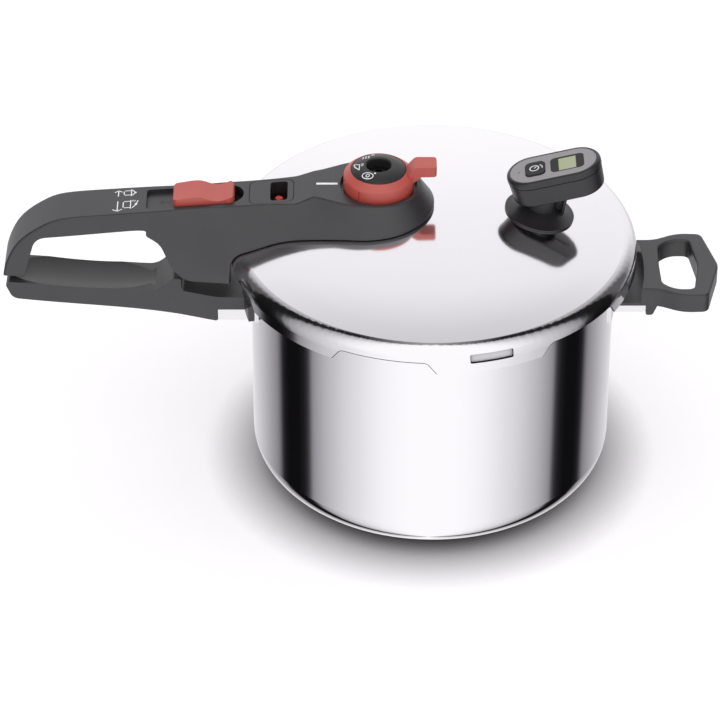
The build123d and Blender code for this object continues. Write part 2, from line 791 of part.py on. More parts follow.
def hex_nut(plane, across, bore, height):
    """Hexagon nut that rises from the plane, with its corners turned off."""
    with BuildPart() as nut:
        with BuildSketch(plane):
            RegularPolygon(across / 2, 6, major_radius=False)
        extrude(amount=height)
        with BuildSketch(plane):
            Circle(across * 0.555)
        extrude(amount=height, mode=Mode.INTERSECT)
        with BuildSketch(plane):
            Circle(bore)
        extrude(amount=height, mode=Mode.SUBTRACT)
    return nut


valve_nut = hex_nut(Plane((valve_x, 0, valve_seat_z - 7.2)), 16, 5.42, 6.0)
finish(valve_nut, "valve_nut")

with BuildPart() as valve_circlip:  # open ring in the head's groove keeps the selector down
    with BuildSketch(Plane((valve_x, 0, 203.55))):
        Circle(10.0)
        Circle(7.75, mode=Mode.SUBTRACT)
        with Locations((-8.8, 0)):
            Rectangle(5, 3.4, mode=Mode.SUBTRACT)
    extrude(amount=0.75)
finish(valve_circlip, "valve_circlip")

with BuildPart() as valve_weight:  # rests on the pipe and lifts to let steam out
    with BuildSketch(Plane.XZ):
        with BuildLine():
            Polyline(
                (valve_x, 204.2),
                (valve_x + 1.2, 204.2),
                (valve_x + 2.9, 205.7),
                (valve_x + 2.9, 206.8),
                (valve_x + 5.5, 206.8),
                (valve_x + 5.5, 208.2),
                (valve_x + 4.7, 208.9),
                (valve_x + 2.2, 208.9),
                (valve_x + 1.8, 208.0),
                (valve_x, 208.0),
                close=True,
            )
        make_face()
    revolve(axis=Axis((valve_x, 0, 0), (0, 0, 1)))
finish(valve_weight, "valve_weight")

with BuildPart() as lever:  # rises off the ring and runs out flat
    with BuildSketch(Plane.XZ):
        with BuildLine():
            FilletPolyline(
                (valve_x + 19.6, 203.4),
                (valve_x + 21.0, 204.2),
                (valve_x + 25.4, 208.4),
                (lever_end, 208.6),
                (lever_end, 215.2),
                (valve_x + 21.9, 215.2),
                (valve_x + 17.4, 210.0),
                radius=[0, 1.0, 2.0, 0.9, 0.9, 3.5, 0],
                close=True,
            )
        make_face()
    extrude(amount=lever_width / 2, both=True)
    with BuildSketch(Plane((valve_x + 20, 0, 200))):
        with Locations(((lever_end - valve_x - 20) / 2 - 5, 0)):
            RectangleRounded(lever_end - valve_x - 20 + 10, lever_width, 2.2)
    extrude(amount=20, mode=Mode.INTERSECT)

with BuildPart() as selector_ring:  # red ring: hub on the pipe, web, skirt and rounded rim
    with BuildSketch(Plane.XZ):
        with BuildLine():
            FilletPolyline(
                (valve_x + hub_radius + 0.06, 200.3),
                (valve_x + selector_radius - 2.0, 200.3),
                (valve_x + selector_radius - 2.0, 197.0),
                (valve_x + selector_radius, 197.0),
                (valve_x + selector_radius + 0.05, 207.2),
                (valve_x + cap_radius + 0.15, 210.8),
                (valve_x + cap_radius + 0.15, 206.2),
                (valve_x + 12.4, 206.2),
                (valve_x + 12.4, 203.2),
                (valve_x + hub_radius + 0.06, 203.2),
                radius=[0, 0.5, 0.4, 0.4, 2.4, 0.25, 0.3, 0.3, 0.3, 0],
                close=True,
            )
        make_face()
    revolve(axis=Axis((valve_x, 0, 0), (0, 0, 1)))
    add(lever.part)
    with BuildSketch(Plane((valve_x, 0, 199.6)).rotated((0, 0, 236.5))):  # marker groove
        with Locations((selector_radius, 0)):
            Rectangle(1.0, 1.6)
    extrude(amount=6.0, mode=Mode.SUBTRACT)
finish(selector_ring, "selector_ring")

with BuildPart() as selector_cap:  # domed cap with the steam outlet through its middle
    with BuildSketch(Plane.XZ):
        with BuildLine():
            Polyline(
                (valve_x + cap_hole, 212.9),
                (valve_x + cap_hole, 206.3),
                (valve_x + cap_radius, 206.3),
                (valve_x + cap_radius, 210.3),
            )
            ThreePointArc(
                (valve_x + cap_radius, 210.3),
                (valve_x + 12.6, 212.5),
                (valve_x + cap_hole + 0.7, 213.6),
            )
            Line((valve_x + cap_hole + 0.7, 213.6), (valve_x + cap_hole, 212.9))
        make_face()
    revolve(axis=Axis((valve_x, 0, 0), (0, 0, 1)))
finish(selector_cap, "selector_cap")

# ---- safety valve -------------------------------------------------------------------

safety_seat_z = dome_height(abs(safety_x))
ball_radius = 3.0
ball_seat_z = safety_seat_z + 4.0
ball_z = ball_seat_z + sqrt(ball_radius**2 - 2.0**2) + 0.12
safety_top = safety_seat_z + 14.5

with BuildPart() as safety_valve_body:  # tube crimped over at the top, ball seat half way up
    with BuildSketch(Plane.XZ):
        with BuildLine():
            Polyline(
                (safety_x + 2.0, safety_seat_z - 8.0),
                (safety_x + 4.4, safety_seat_z - 8.0),
                (safety_x + 4.4, safety_seat_z),
                (safety_x + 7.5, safety_seat_z),
                (safety_x + 7.5, safety_seat_z + 2.2),
                (safety_x + 5.2, safety_seat_z + 2.2),
                (safety_x + 5.2, safety_top),
                (safety_x + 1.4, safety_top),
                (safety_x + 1.4, safety_top - 1.1),
                (safety_x + 3.4, safety_top - 1.1),
                (safety_x + 3.4, ball_seat_z),
                (safety_x + 2.0, ball_seat_z),
                close=True,
            )
        make_face()
    revolve(axis=Axis((safety_x, 0, 0), (0, 0, 1)))
finish(safety_valve_body, "safety_valve_body")

safety_valve_nut = hex_nut(Plane((safety_x, 0, safety_seat_z - 5.8)), 13, 4.42, 4.6)
finish(safety_valve_nut, "safety_valve_nut")

with BuildPart() as safety_valve_ball:
    with Locations((safety_x, 0, ball_z)):
        Sphere(ball_radius)
finish(safety_valve_ball, "safety_valve_ball")


def coil_spring(plane, radius, wire_radius, pitch, height):
    """Helical compression spring that rises from the plane."""
    with BuildPart() as spring:
        with BuildLine() as coil:
            Helix(pitch, height, radius, center=plane.origin, direction=plane.z_dir)
        with BuildSketch(Plane(origin=coil.line @ 0, z_dir=coil.line % 0)):
            RegularPolygon(wire_radius, 6)
        sweep(path=coil.line)
    return spring


spring_foot_z = ball_z + 2.15
safety_valve_spring = coil_spring(
    Plane((safety_x, 0, spring_foot_z + 0.4)), 2.75, 0.35, 1.3, safety_top - 1.1 - spring_foot_z - 0.8
)
finish(safety_valve_spring, "safety_valve_spring")

# ---- pressure indicator -------------------------------------------------------------

window_seat_z = dome_height(abs(window_x))

with BuildPart() as indicator_grommet:  # silicone sleeve, grooved over the lid's edge
    with BuildSketch(Plane.XZ):
        with BuildLine():
            Polyline(
                (window_x + 2.7, window_seat_z - 2.8),
                (window_x + 6.6, window_seat_z - 2.8),
                (window_x + 6.6, window_seat_z - sheet - 0.02),
                (window_x + 4.98, window_seat_z - sheet - 0.02),
                (window_x + 4.98, window_seat_z + 0.02),
                (window_x + 6.6, window_seat_z + 0.02),
                (window_x + 6.6, window_seat_z + 1.6),
                (window_x + 2.7, window_seat_z + 1.6),
                close=True,
            )
        make_face()
    revolve(axis=Axis((window_x, 0, 0), (0, 0, 1)))
finish(indicator_grommet, "indicator_grommet")

with BuildPart() as indicator_pin:  # red piston that rises in the window under pressure
    with BuildSketch(Plane.XZ):
        with BuildLine():
            Polyline(
                (window_x, indicator_top),
                (window_x + 2.1, indicator_top),
                (window_x + 2.6, indicator_top - 0.6),
                (window_x + 2.6, window_seat_z + 6.0),
                (window_x + 4.4, window_seat_z + 5.2),
                (window_x + 4.4, window_seat_z + 2.0),
                (window_x + 2.35, window_seat_z + 2.0),
                (window_x + 2.35, window_seat_z - 8.4),
                (window_x + 4.2, window_seat_z - 8.4),
                (window_x + 4.2, window_seat_z - 10.0),
                (window_x, window_seat_z - 10.0),
                close=True,
            )
        make_face()
    revolve(axis=Axis((window_x, 0, 0), (0, 0, 1)))
finish(indicator_pin, "indicator_pin")

# ---- opening button and lock bolt ---------------------------------------------------

button_floor = grip_plane(button_x, moving_gap - button_recess_depth)
button_high, button_dish = 6.6, 4.6

with BuildPart() as slide_button:  # high end at the left, S-curve down to a dished thumb end
    with BuildSketch(Plane(origin=button_floor.origin, x_dir=button_floor.x_dir, z_dir=(0, -1, 0))):
        with BuildLine():
            half = button_length / 2
            Polyline((half, 0), (-half, 0), (-half, button_high - 1.2))
            Spline(
                (-half, button_high - 1.2),
                (-half + 2.4, button_high),
                (0.5, button_high),
                (4.8, button_dish),
                (half - 4.0, button_dish + 0.4),
                (half, button_high - 3.2),
                tangents=[(0.15, 1), (0.1, -1)],
            )
            Line((half, button_high - 3.2), (half, 0))
        make_face()
    extrude(amount=button_width / 2, both=True)
    with BuildSketch(button_floor):
        RectangleRounded(button_length, button_width, 3.0)
    extrude(amount=12, mode=Mode.INTERSECT)
    with BuildSketch(Plane((stem_x, 0, stem_low))):  # stem down to the bolt
        Rectangle(stem_length, 7.0)
    extrude(amount=button_floor.origin.Z + 1.0 - stem_low)
finish(slide_button, "slide_button")

with BuildPart() as lock_bolt:  # bent plate: upright in the stem, foot towards the pot's rim
    with BuildSketch(Plane.XZ):
        with BuildLine():
            FilletPolyline(
                (stem_x + 2.2, stem_low),
                (stem_x, stem_low),
                (stem_x, bolt_height - 1.1),
                (bolt_tip_x, bolt_height - 1.1),
                (bolt_tip_x, bolt_height + 1.1),
                (stem_x + 2.2, bolt_height + 1.1),
                radius=[0, 0, 2.6, 0.6, 0.6, 0.5],
                close=True,
            )
        make_face()
    extrude(amount=5.0, both=True)
finish(lock_bolt, "lock_bolt")

button_spring = coil_spring(
    Plane(origin=(-153.6, 0, 168.0), x_dir=(0, 1, 0), z_dir=(1, 0, 0)), 2.8, 0.4, 2.4, 14.0
)
finish(button_spring, "button_spring")

# ---- timer --------------------------------------------------------------------------

face_plane = leaning_plane(timer_face_x, timer_face_z, timer_lean)  # the timer's front, looking up
case_floor = face_plane.offset(-timer_depth)


def timer_bar(radius, depth, half_height):
    """Round bar along the timer's foot, trimmed level with the case at a depth."""
    with BuildPart() as bar:
        with BuildSketch(timer_plane.offset(3)):
            Circle(radius)
        extrude(amount=half_height)
        split(bisect_by=case_floor.offset(depth), keep=Keep.BOTTOM)
    return bar.part


with BuildPart() as timer_base:  # knob foot on the dome: flange, trumpet and neck
    with BuildSketch(Plane(origin=timer_plane.origin, x_dir=timer_plane.x_dir, z_dir=(0, -1, 0))):
        with BuildLine():
            Polyline((neck_radius - 3, 8.6), (0, 8.6), (0, -1.4), (21.2, -1.4), (21.2, 0.6))
            Spline((21.2, 0.6), (12.8, 3.0), (neck_radius - 3, 8.6), tangents=[(-1, 0.1), (-0.3, 1)])
        make_face()
    revolve(axis=Axis(timer_plane.origin, timer_plane.z_dir))
    add(timer_bar(neck_radius, -moving_gap, 18))
    with BuildSketch(timer_plane.offset(2)):  # clip strut beside the neck, on a thin web
        with Locations((13.4, 0)):
            Rectangle(1.5, 7.0)
        with Locations((neck_radius + 1, 0)):
            Rectangle(6, 1.6)
    extrude(amount=22)
    split(bisect_by=case_floor.offset(-moving_gap), keep=Keep.BOTTOM)
    add(timer_bar(stub_radius, stub_depth, 24))  # stub that the timer plugs on to
    add(lid_form(0.05, 130), mode=Mode.SUBTRACT)
    with BuildSketch(timer_plane):
        Circle(1.7)
    extrude(amount=9, mode=Mode.SUBTRACT)
finish(timer_base, "timer_base")

timer_base_screw = pan_screw(timer_plane.offset(-2.0), 3.6, 1.9, 1.65, 10.5)
finish(timer_base_screw, "timer_base_screw")

with BuildPart() as timer_base_seal:  # silicone washer under the screw's head
    with BuildSketch(timer_plane.offset(-2.0)):
        Circle(5.4)
        Circle(1.75, mode=Mode.SUBTRACT)
    extrude(amount=0.95)
finish(timer_base_seal, "timer_base_seal")

with BuildPart() as timer_case_lower:
    with BuildSketch(face_plane.offset(-parting - parting_groove)):
        SlotCenterToCenter(timer_span, 2 * timer_radius - 0.4)
    extrude(amount=-(timer_depth - parting - parting_groove), taper=4)
    floor_face = timer_case_lower.faces().sort_by(Axis(face_plane.origin, face_plane.z_dir))[0]
    fillet(floor_face.edges(), 1.5)
    with BuildSketch(face_plane.offset(-parting - 0.1)):  # narrower neck at the parting groove
        SlotCenterToCenter(timer_span, 2 * timer_radius - 2.0)
    extrude(amount=-1.2)
    with BuildSketch(face_plane.offset(-parting - 0.1)):
        SlotCenterToCenter(timer_span, 2 * face_radius - 0.6)
    extrude(amount=-6.7, mode=Mode.SUBTRACT)
    with BuildSketch(case_floor):
        with Locations((battery_place, 0)):
            Circle(10.3)
    extrude(amount=5.0, mode=Mode.SUBTRACT)
    with BuildSketch(case_floor):
        with Locations((battery_place, 0)):
            Circle(11.5)
    extrude(amount=1.6, mode=Mode.SUBTRACT)
    add(timer_bar(stub_radius + moving_gap, stub_depth + 0.4, 26), mode=Mode.SUBTRACT)
finish(timer_case_lower, "timer_case_lower")

with BuildPart() as timer_case_upper:
    with BuildSketch(face_plane.offset(-parting)):
        SlotCenterToCenter(timer_span, 2 * timer_radius)
    extrude(amount=parting)
    top_face = timer_case_upper.faces().sort_by(Axis(face_plane.origin, face_plane.z_dir))[-1]
    fillet(top_face.edges(), 2.2)
    with BuildSketch(face_plane.offset(-parting)):
        SlotCenterToCenter(timer_span, 2 * face_radius - 0.6)
    extrude(amount=parting - 2.4, mode=Mode.SUBTRACT)
    with BuildSketch(face_plane):
        SlotCenterToCenter(timer_span, 2 * face_radius + 0.1)
    extrude(amount=-1.3, mode=Mode.SUBTRACT)
    with BuildSketch(face_plane):
        with Locations((button_place, 0)):
            RectangleRounded(key_length + 0.6, key_width + 0.6, 3.3)
        with Locations((window_place, 0)):
            RectangleRounded(lens_length + 0.1, lens_width + 0.1, 3.0)
    extrude(amount=-4, mode=Mode.SUBTRACT)
finish(timer_case_upper, "timer_case_upper")

with BuildPart() as timer_face_plate:
    with BuildSketch(face_plane.offset(-1.3)):
        SlotCenterToCenter(timer_span, 2 * face_radius)
        with Locations((button_place, 0)):
            RectangleRounded(key_length + 0.6, key_width + 0.6, 3.3, mode=Mode.SUBTRACT)
        with Locations((window_place, 0)):
            RectangleRounded(lens_length + 0.1, lens_width + 0.1, 3.0, mode=Mode.SUBTRACT)
        with Locations((-timer_span / 2 - 7.3, 0)):  # hole in front of the buzzer
            Circle(0.6, mode=Mode.SUBTRACT)
    extrude(amount=1.1)
finish(timer_face_plate, "timer_face_plate")

with BuildPart() as timer_lens:  # dark frame of the window, open over the display
    with BuildSketch(face_plane.offset(-1.3)):
        with Locations((window_place, 0)):
            RectangleRounded(lens_length, lens_width, 3.0)
            Rectangle(display_length, display_width, mode=Mode.SUBTRACT)
    extrude(amount=1.0)
finish(timer_lens, "timer_lens")

with BuildPart() as timer_display:  # display glass on its wider backing
    with BuildSketch(face_plane.offset(-3.2)):
        with Locations((window_place, 0)):
            Rectangle(display_length + 3.6, display_width + 1.4)
    extrude(amount=1.85)
    with BuildSketch(face_plane.offset(-1.4)):
        with Locations((window_place, 0)):
            Rectangle(display_length - 0.15, display_width - 0.15)
    extrude(amount=0.85)
finish(timer_display, "timer_display")

with BuildPart() as timer_circuit_board:
    with BuildSketch(face_plane.offset(-board_depth)):
        SlotCenterToCenter(timer_span, 2 * face_radius - 2.0)
    extrude(amount=1.2)
finish(timer_circuit_board, "timer_circuit_board")

with BuildPart() as timer_buzzer:
    with BuildSketch(face_plane.offset(-board_depth)):
        with Locations((battery_place, 0)):
            Circle(6.0)
            Circle(0.8, mode=Mode.SUBTRACT)
    extrude(amount=-2.6)
finish(timer_buzzer, "timer_buzzer")

with BuildPart() as timer_battery:
    with BuildSketch(case_floor.offset(1.65)):
        with Locations((battery_place, 0)):
            Circle(10.0)
    extrude(amount=3.2)
    fillet(timer_battery.edges().filter_by(GeomType.CIRCLE), 0.4)
finish(timer_battery, "timer_battery")

with BuildPart() as timer_battery_cover:  # turned with a coin
    with BuildSketch(case_floor.offset(0.1)):
        with Locations((battery_place, 0)):
            Circle(11.4)
    extrude(amount=1.45)
    with BuildSketch(case_floor.offset(0.1)):
        with Locations((battery_place, 0)):
            SlotOverall(13.0, 1.8)
    extrude(amount=0.8, mode=Mode.SUBTRACT)
finish(timer_battery_cover, "timer_battery_cover")

with BuildPart() as timer_button:  # key with a flange that keeps it in the case
    with BuildSketch(face_plane.offset(-3.0)):
        with Locations((button_place, 0)):
            RectangleRounded(key_length, key_width, 3.0)
    extrude(amount=3.5)
    fillet(
        timer_button.faces().sort_by(Axis(face_plane.origin, face_plane.z_dir))[-1].edges(), 0.5
    )
    with BuildSketch(face_plane.offset(-3.5)):
        with Locations((button_place, 0)):
            RectangleRounded(key_length + 2.0, key_width + 2.0, 3.6)
    extrude(amount=0.9)
finish(timer_button, "timer_button")
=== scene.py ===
import json
from math import pi, radians
import bpy
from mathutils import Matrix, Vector

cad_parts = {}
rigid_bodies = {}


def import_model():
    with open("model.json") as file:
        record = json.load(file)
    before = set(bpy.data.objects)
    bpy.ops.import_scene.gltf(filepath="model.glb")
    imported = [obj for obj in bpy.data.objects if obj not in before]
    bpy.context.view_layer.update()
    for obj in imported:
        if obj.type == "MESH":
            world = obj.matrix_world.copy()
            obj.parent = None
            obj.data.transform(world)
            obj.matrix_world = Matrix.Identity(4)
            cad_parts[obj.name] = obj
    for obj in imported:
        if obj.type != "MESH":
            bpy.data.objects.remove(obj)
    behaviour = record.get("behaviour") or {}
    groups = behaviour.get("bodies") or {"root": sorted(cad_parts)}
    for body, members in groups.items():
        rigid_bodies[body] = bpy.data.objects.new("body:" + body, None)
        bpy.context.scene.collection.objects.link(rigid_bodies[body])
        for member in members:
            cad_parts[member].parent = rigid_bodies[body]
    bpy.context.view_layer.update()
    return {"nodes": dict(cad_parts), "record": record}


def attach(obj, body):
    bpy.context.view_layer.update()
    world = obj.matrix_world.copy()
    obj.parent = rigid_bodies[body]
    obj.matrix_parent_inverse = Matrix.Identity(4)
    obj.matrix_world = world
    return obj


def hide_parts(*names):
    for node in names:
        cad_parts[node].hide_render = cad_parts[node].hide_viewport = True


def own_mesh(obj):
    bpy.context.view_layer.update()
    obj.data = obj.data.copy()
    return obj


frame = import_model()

mm = 0.001
print("loaded", len(frame["nodes"]), "sub-parts")


# Colours are written as sRGB hex values, and the shaders take them linear.
def fromHex(colour):
    parts = [int(colour[i:i + 2], 16) / 255 for i in (1, 3, 5)]
    return (*[c / 12.92 if c <= 0.04045 else ((c + 0.055) / 1.055) ** 2.4 for c in parts], 1.0)


# An input is a number, a colour or the socket that it is linked to. Stops fill a colour ramp.
def addNode(tree, kind, inputs=None, stops=(), **settings):
    node = tree.nodes.new(kind)
    for key, value in settings.items():
        setattr(node, key, value)
    for key, item in (inputs or {}).items():
        if isinstance(item, bpy.types.NodeSocket):
            tree.links.new(item, node.inputs[key])
        else:
            node.inputs[key].default_value = item
    if stops:
        elements = node.color_ramp.elements
        while len(elements) < len(stops):
            elements.new(0.5)
        for element, (place, colour) in zip(elements, stops):
            element.position = place
            element.color = fromHex(colour)
    return node


def newMaterial(name):
    material = bpy.data.materials.new(name)
    material.use_nodes = True
    material.node_tree.nodes.clear()
    return material, material.node_tree


# Stainless sheet, 18/10, buffed to a mirror: soft reflections, buffing lines that run round
# the pot, drawn coarser than the real ones so that they show, and a faint haze in patches.
steel = {
    "patch": 38,             # millimetres across a patch of haze
    "lineSpacing": 0.5,      # millimetres from line to line
    "lineHeight": 0.0015,
}


def polishedSteel(
    name, colour, roughness, haze, lineSpacing=steel["lineSpacing"], lineHeight=steel["lineHeight"]
):
    material, tree = newMaterial(name)
    place = addNode(tree, "ShaderNodeTexCoord").outputs["Object"]
    axes = addNode(tree, "ShaderNodeSeparateXYZ", {"Vector": place}).outputs
    flat = addNode(tree, "ShaderNodeCombineXYZ", {"X": axes["X"], "Y": axes["Y"]})
    reach = addNode(tree, "ShaderNodeVectorMath", {0: flat.outputs[0]}, operation="LENGTH")
    profile = addNode(
        tree, "ShaderNodeCombineXYZ", {"X": reach.outputs["Value"], "Z": axes["Z"]}
    ).outputs[0]
    lines = addNode(
        tree,
        "ShaderNodeTexNoise",
        {"Vector": profile, "Scale": 1 / (lineSpacing * mm), "Detail": 2.0},
    )
    patches = addNode(
        tree,
        "ShaderNodeTexNoise",
        {"Vector": place, "Scale": 1 / (steel["patch"] * mm), "Detail": 3.0},
    )
    bump = addNode(
        tree,
        "ShaderNodeBump",
        {"Height": lines.outputs["Fac"], "Strength": 1.0, "Distance": lineHeight * mm},
    )
    hazy = addNode(
        tree,
        "ShaderNodeMapRange",
        {"Value": patches.outputs["Fac"], "To Min": roughness - haze, "To Max": roughness + haze},
    )
    shader = addNode(
        tree,
        "ShaderNodeBsdfPrincipled",
        {
            "Base Color": fromHex(colour),
            "Metallic": 1.0,
            "Roughness": hazy.outputs["Result"],
            "Normal": bump.outputs["Normal"],
        },
    )
    addNode(tree, "ShaderNodeOutputMaterial", {"Surface": shader.outputs[0]})
    return material


# Moulded plastic: an even spark-eroded grain, drawn coarser than the real one, and a colour
# that is a little uneven over a few centimetres.
plastic = {
    "cloud": 22,             # millimetres across a paler or darker area
    "unevenness": 0.05,      # of the roughness, from pit to pit
    "grain": 0.35,           # millimetres from pit to pit
    "grainHeight": 0.02,
    "gloss": 0.5,
}


def mouldedPlastic(
    name,
    colour,
    paler,
    roughness,
    grain=plastic["grain"],
    grainHeight=plastic["grainHeight"],
    gloss=plastic["gloss"],
):
    material, tree = newMaterial(name)
    place = addNode(tree, "ShaderNodeTexCoord").outputs["Object"]
    cloud = addNode(
        tree,
        "ShaderNodeTexNoise",
        {"Vector": place, "Scale": 1 / (plastic["cloud"] * mm), "Detail": 4.0},
    )
    pits = addNode(
        tree, "ShaderNodeTexNoise", {"Vector": place, "Scale": 1 / (grain * mm), "Detail": 2.0}
    )
    bump = addNode(
        tree,
        "ShaderNodeBump",
        {"Height": pits.outputs["Fac"], "Strength": 1.0, "Distance": grainHeight * mm},
    )
    shade = addNode(
        tree,
        "ShaderNodeValToRGB",
        {"Fac": cloud.outputs["Fac"]},
        stops=((0.3, colour), (0.7, paler)),
    )
    rough = addNode(
        tree,
        "ShaderNodeMapRange",
        {
            "Value": pits.outputs["Fac"],
            "To Min": roughness - plastic["unevenness"],
            "To Max": roughness + plastic["unevenness"],
        },
    )
    shader = addNode(
        tree,
        "ShaderNodeBsdfPrincipled",
        {
            "Base Color": shade.outputs["Color"],
            "Specular IOR Level": gloss,
            "Roughness": rough.outputs["Result"],
            "Normal": bump.outputs["Normal"],
        },
    )
    addNode(tree, "ShaderNodeOutputMaterial", {"Surface": shader.outputs[0]})
    return material


looks = {
    # steel: name, colour, roughness, haze, spacing and height of the lines
    "stainless_steel": polishedSteel(
        "mirror buffed stainless", "#fcfafd", 0.055, 0.01, 0.5, 0.0004
    ),
    "lid_steel": polishedSteel("satin buffed stainless lid", "#fcfafd", 0.1, 0.012, 0.5, 0.0004),
    "disc_steel": polishedSteel("turned stainless disc", "#dcdadd", 0.26, 0.04, 0.8, 0.01),
    "bracket_steel": polishedSteel("pressed bright stainless", "#f0eef1", 0.18, 0.03),
    "fittings": polishedSteel("turned stainless", "#d5d3d6", 0.2, 0.03, 0.3, 0.003),
    # dark_steel is the valve weight's look, so dark that the valve's hole shows black: painted
    # shade; it also colours the painted shadow strip under the lid's skirt.
    "dark_steel": polishedSteel("blackened steel", "#2b2a2c", 0.3, 0.04, 0.3, 0.003),
    "cell": polishedSteel("nickel plated can", "#d0ced0", 0.25, 0.03),
    # plastic: name, colour and its paler areas, roughness, grain and its height, gloss
    "handle_plastic": mouldedPlastic(
        "black phenolic moulding", "#2e2c2f", "#323033", 0.36, gloss=0.8
    ),
    "red_plastic": mouldedPlastic("coral red moulding", "#c05046", "#c5554b", 0.38, gloss=0.8),
    "indicator_red": mouldedPlastic("bright red acetal", "#c81e18", "#cf251e", 0.35),
    "white_print": mouldedPlastic("white pad print", "#fbfafc", "#fdfcfe", 0.5, 0.2, 0.003),
    "cap_plastic": mouldedPlastic("near black moulding", "#2a292b", "#2d2c2e", 0.4),
    "timer_plastic": mouldedPlastic("dark grey moulding", "#262427", "#29272a", 0.33, gloss=0.65),
    "timer_front": mouldedPlastic(
        "silver grey lacquer", "#959296", "#99969a", 0.35, 0.15, 0.004
    ),
    "timer_glass": mouldedPlastic(
        "dark gloss acrylic", "#232124", "#262427", 0.25, 2.0, 0.001, 0.25
    ),
    "timer_lcd": mouldedPlastic("liquid crystal glass", "#a9b18f", "#adb593", 0.15, 3.0, 0.001),
    "board": mouldedPlastic("green lacquered board", "#1d5a36", "#216039", 0.35),
    "silicone": mouldedPlastic("pale grey silicone rubber", "#dcdade", "#e0dee2", 0.55),
}
buffedSofter = {"lid_shell": "lid_steel"}      # the lid is polished a little less than the pot

for row in frame["record"]["subparts"]:
    node = bpy.data.objects[row["node"]]
    look = looks[buffedSofter.get(row["node"], row["material_slot"])]
    for slot in node.material_slots:
        slot.material = look
    if not node.material_slots:
        node.data.materials.append(look)
print("dressed the sub-parts")

# Each mark is laid out flat in millimetres, dropped straight down on to the part that it lies on,
# and given the thickness of the ink; all are print but the slide arrow.
printing = {
    "dropHeight": 0.23,      # metres above the table from which a mark is dropped
    "proud": 0.03,           # millimetres of ink above the part
    "ink": 0.1,
    "pen": 0.62,
    "barb": 2.3,             # half width of an arrow's head
    "barbLength": 0.72,      # its length for each unit of half width
    "tipOverlap": 0.1,       # of the pen, by which the barbs start off the arrow's axis
    "ringCorners": 40,
    "dotCorners": 20,
    "cuts": 2,               # across each face, so that the ink follows a curved part
}


def onlyOne(piece):
    bpy.ops.object.select_all(action="DESELECT")
    piece.select_set(True)
    bpy.context.view_layer.objects.active = piece


# Moves a piece's place, turn and size into its mesh.
def placed(piece):
    onlyOne(piece)
    bpy.ops.object.transform_apply(location=True, rotation=True, scale=True)
    return piece


def shifted(centre, points):
    return [(centre[0] + x, centre[1] + y) for x, y in points]


# A straight stroke, drawn as a thin plate between two points.
def stroke(start, end, pen=printing["pen"]):
    run = Vector(end) - Vector(start)
    middle = (Vector(start) + Vector(end)) / 2 * mm
    bpy.ops.mesh.primitive_plane_add(
        size=1,
        location=(*middle, printing["dropHeight"]),
        rotation=(0, 0, run.angle_signed(Vector((1, 0)))),
    )
    plate = bpy.context.object
    plate.scale = (run.length * mm, pen * mm, 1)
    return placed(plate)


# A ring, drawn as a disc that is inset and opened.
def ring(
    centre, radius, pen=printing["pen"], corners=printing["ringCorners"], stretch=(1, 1), turn=0.0
):
    bpy.ops.mesh.primitive_circle_add(
        vertices=corners,
        radius=radius * mm,
        fill_type="NGON",
        location=(centre[0] * mm, centre[1] * mm, printing["dropHeight"]),
        rotation=(0, 0, radians(turn)),
    )
    disc = bpy.context.object
    disc.scale = (*stretch, 1)
    placed(disc)
    bpy.ops.object.mode_set(mode="EDIT")
    bpy.ops.mesh.select_all(action="SELECT")
    bpy.ops.mesh.inset(thickness=pen * mm)
    bpy.ops.mesh.delete(type="FACE")
    bpy.ops.object.mode_set(mode="OBJECT")
    return disc


def dot(centre, radius):
    bpy.ops.mesh.primitive_circle_add(
        vertices=printing["dotCorners"],
        radius=radius * mm,
        fill_type="TRIFAN",
        location=(centre[0] * mm, centre[1] * mm, printing["dropHeight"]),
    )
    return placed(bpy.context.object)


# A shaft and two barbs that stop at the shaft's tip.
def arrow(tail, tip, barb=printing["barb"], pen=printing["pen"]):
    along = (Vector(tip) - Vector(tail)).normalized()
    across = Vector((-along.y, along.x))
    end = Vector(tip)
    strokes = [stroke(tail, end - along * pen, pen)]
    for side in (-1, 1):
        start = end + across * side * printing["tipOverlap"] * pen
        barbEnd = end - along * barb * printing["barbLength"] + across * side * barb
        strokes.append(stroke(start, barbEnd, pen))
    return strokes


# Joins the strokes, lays them on the part and thickens them.
def layMarkOn(name, strokes, part, body, slot="white_print"):
    bpy.ops.object.select_all(action="DESELECT")
    for piece in strokes:
        piece.select_set(True)
    bpy.context.view_layer.objects.active = strokes[0]
    bpy.ops.object.join()
    mark = bpy.context.object
    mark.name = name
    bpy.ops.object.mode_set(mode="EDIT")
    bpy.ops.mesh.select_all(action="SELECT")
    bpy.ops.mesh.quads_convert_to_tris()
    bpy.ops.mesh.subdivide(number_cuts=printing["cuts"])
    bpy.ops.mesh.normals_make_consistent(inside=False)
    bpy.ops.object.mode_set(mode="OBJECT")
    if sum(p.normal.z for p in mark.data.polygons) < 0:
        mark.data.flip_normals()
    lay = mark.modifiers.new("lay", "SHRINKWRAP")
    lay.target = bpy.data.objects[part]
    lay.wrap_method = "PROJECT"
    lay.use_project_z = True
    lay.use_positive_direction = False
    lay.use_negative_direction = True
    lay.wrap_mode = "ABOVE_SURFACE"
    lay.offset = printing["proud"] * mm
    bpy.ops.object.modifier_apply(modifier="lay")
    ink = mark.modifiers.new("ink", "SOLIDIFY")
    ink.thickness = printing["ink"] * mm
    ink.offset = -1.0
    bpy.ops.object.modifier_apply(modifier="ink")
    mark.data.materials.clear()
    mark.data.materials.append(looks[slot])
    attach(mark, body)


